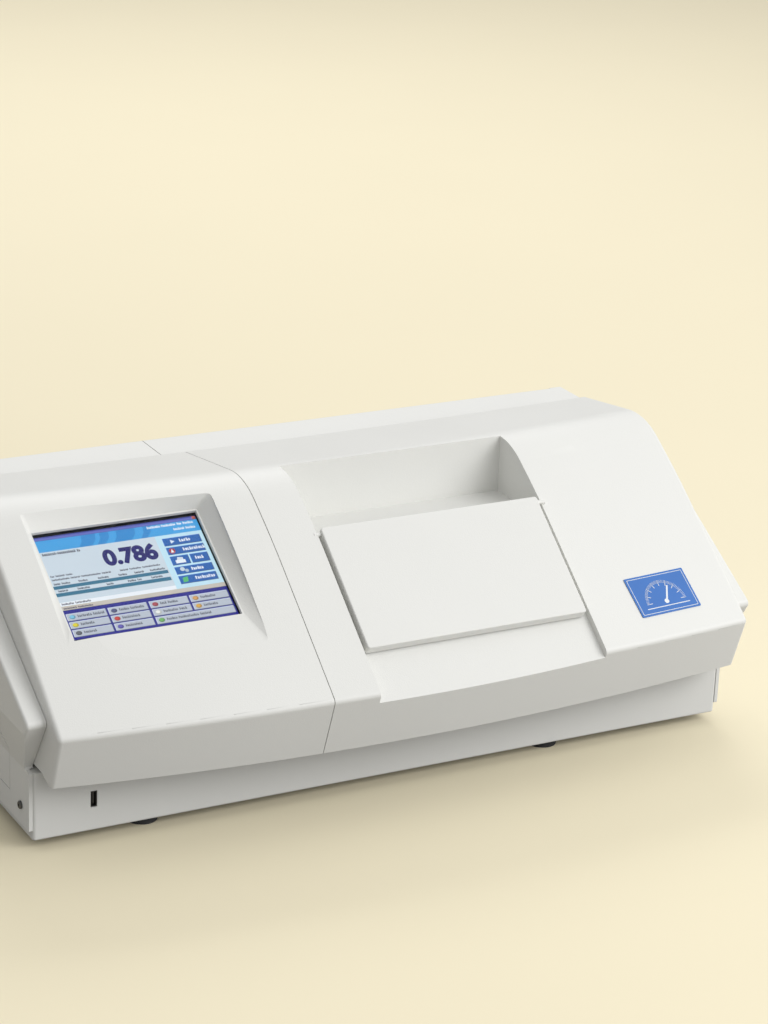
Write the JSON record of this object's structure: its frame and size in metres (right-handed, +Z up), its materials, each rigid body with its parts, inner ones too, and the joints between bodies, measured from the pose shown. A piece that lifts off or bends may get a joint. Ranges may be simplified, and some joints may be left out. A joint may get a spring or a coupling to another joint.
{
  "type": "polarimeter",
  "caption": "Benchtop automatic polarimeter with a sloping bowed hood, recessed touch display, lidded sample chamber and side fins.",
  "frame": {"origin": "middle of the footprint, on the surface that the feet stand on", "axes": "+X to the right along the instrument's length and its optical axis, +Y to the rear, +Z up"},
  "size_m": [0.708, 0.3931, 0.2563],
  "materials": {
    "cover_white": "satin",
    "base_grey": "satin",
    "zinc": "satin",
    "screw_steel": "satin",
    "aluminium_black": "anodised",
    "aluminium_plain": "satin",
    "steel": "bright",
    "rubber_black": "matt",
    "plastic_black": "matt",
    "plastic_grey": "matt",
    "badge_blue": "gloss",
    "screen_glass": "clear",
    "optic_glass": "polished",
    "filter_glass": "polished",
    "copper_wire": "enamelled",
    "brass": "turned",
    "board_green": "satin",
    "ceramic": "matt"
  },
  "bodies": {
    "instrument": {"analyzer_bearings": "steel", "analyzer_housing": "aluminium_plain", "badge_plate": "badge_blue", "base_tray": "base_grey", "chamber_cover": "cover_white", "chamber_tub": "aluminium_black", "chamber_windows": "optic_glass", "condenser_lens": "optic_glass", "detector_housing": "aluminium_black", "detector_tube": "optic_glass", "display_bracket": "zinc", "display_cover": "cover_white", "display_panel": "plastic_black", "encoder_head": "plastic_black", "end_panel_screws": "screw_steel", "fan_frame": "plastic_black", "fan_guard": "steel", "feet": "rubber_black", "filter_motor": "plastic_black", "filter_motor_bracket": "zinc", "foot_screws": "screw_steel", "front_usb_port": "zinc", "lamp_bulb": "optic_glass", "lamp_door_pin": "steel", "lamp_housing": "aluminium_black", "lamp_socket": "ceramic", "left_end_panel": "cover_white", "lens_barrel": "aluminium_black", "lid_bumpers": "rubber_black", "lid_hinge_pins": "steel", "main_board": "board_green", "modulator_bobbin": "plastic_grey", "modulator_coil": "copper_wire", "optical_rail": "aluminium_plain", "polarizer_mount": "aluminium_black", "polarizer_prism": "optic_glass", "power_inlet": "plastic_black", "power_supply": "zinc", "rail_isolators": "rubber_black", "rear_connectors": "zinc", "rear_cover_left": "cover_white", "rear_cover_right": "cover_white", "rear_panel": "base_grey", "rear_panel_screws": "screw_steel", "right_end_panel": "cover_white", "sample_trough": "aluminium_black", "servo_motor": "zinc", "touch_glass": "screen_glass"},
    "lid": {"chamber_lid": "cover_white"},
    "lamp_door": {"lamp_door": "cover_white"},
    "filter_turret": {"filter_wheel": "aluminium_black", "interference_filters": "filter_glass", "filter_motor_shaft": "steel"},
    "analyzer_rotor": {"analyzer_gear": "brass", "analyzer_shaft": "steel", "analyzer_prism": "optic_glass", "encoder_disc": "optic_glass"},
    "pinion": {"drive_pinion": "steel"},
    "fan_rotor": {"fan_rotor": "plastic_black"},
    "switch_rocker": {"power_switch": "plastic_black"}
  },
  "joints": [
    {"name": "lid_hinge", "type": "hinge", "parent": "instrument", "child": "lid", "pos_m": [0.062, -0.06742, 0.21838], "axis": [-1, 0, 0], "range_deg": [0, 105]},
    {"name": "lamp_door_hinge", "type": "hinge", "parent": "instrument", "child": "lamp_door", "pos_m": [-0.3418, -0.0285, 0.0415], "axis": [0, -1, 0], "range_deg": [0, 90]},
    {"name": "filter_wheel_turn", "type": "hinge", "parent": "instrument", "child": "filter_turret", "pos_m": [-0.2035, -0.078, 0.108], "axis": [1, 0, 0], "continuous": true},
    {"name": "analyzer_turn", "type": "hinge", "parent": "instrument", "child": "analyzer_rotor", "pos_m": [0.219, -0.107, 0.108], "axis": [1, 0, 0], "continuous": true},
    {"name": "pinion_turn", "type": "hinge", "parent": "instrument", "child": "pinion", "pos_m": [0.219, -0.065, 0.108], "axis": [1, 0, 0], "continuous": true},
    {"name": "fan_turn", "type": "hinge", "parent": "instrument", "child": "fan_rotor", "pos_m": [-0.22, 0.177, 0.122], "axis": [0, 1, 0], "continuous": true},
    {"name": "power_rocker", "type": "hinge", "parent": "instrument", "child": "switch_rocker", "pos_m": [0.262, 0.1905, 0.09], "axis": [1, 0, 0], "range_deg": [0, 16]}
  ],
  "couplings": [
    {"joint": "pinion_turn", "follows": "analyzer_turn", "ratio": -6}
  ]
}
